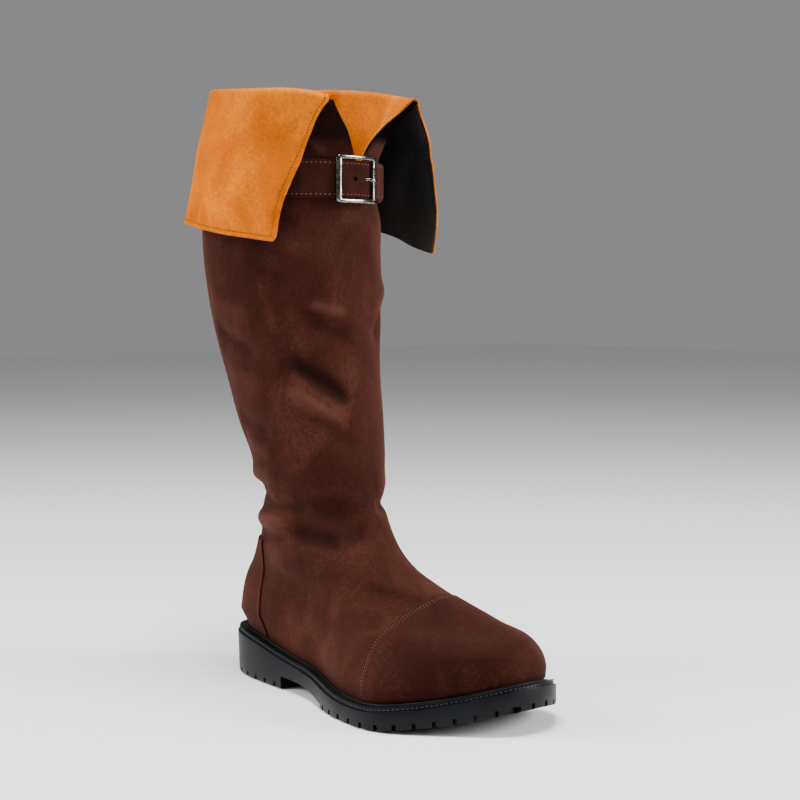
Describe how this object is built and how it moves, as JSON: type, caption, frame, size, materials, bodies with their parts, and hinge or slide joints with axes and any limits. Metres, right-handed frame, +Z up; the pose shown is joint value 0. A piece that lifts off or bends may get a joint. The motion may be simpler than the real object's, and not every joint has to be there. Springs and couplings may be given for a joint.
{
  "type": "knee-high cuffed boot",
  "caption": "Medieval style right boot with a low heel, toe cap, strap with a centre-bar buckle and a turned-down cuff round its notched collar.",
  "frame": {"origin": "on the floor under the middle of the heel", "axes": "+X to the toe, +Y to the inner side of the foot, +Z up the shaft"},
  "size_m": [0.3379, 0.1731, 0.4561],
  "materials": {
    "rubber": "moulded, satin",
    "insole_cloth": "woven, matte",
    "brown_suede": "brushed synthetic suede",
    "ochre_suede": "brushed synthetic suede",
    "nickel": "polished nickel plate"
  },
  "bodies": {
    "root": {"outsole": "rubber", "welt": "rubber", "insole": "insole_cloth", "upper": "brown_suede", "toe_cap": "brown_suede", "heel_counter": "brown_suede", "cuff": "ochre_suede", "strap": "brown_suede", "buckle_frame": "nickel", "buckle_prong": "nickel"}
  },
  "joints": []
}
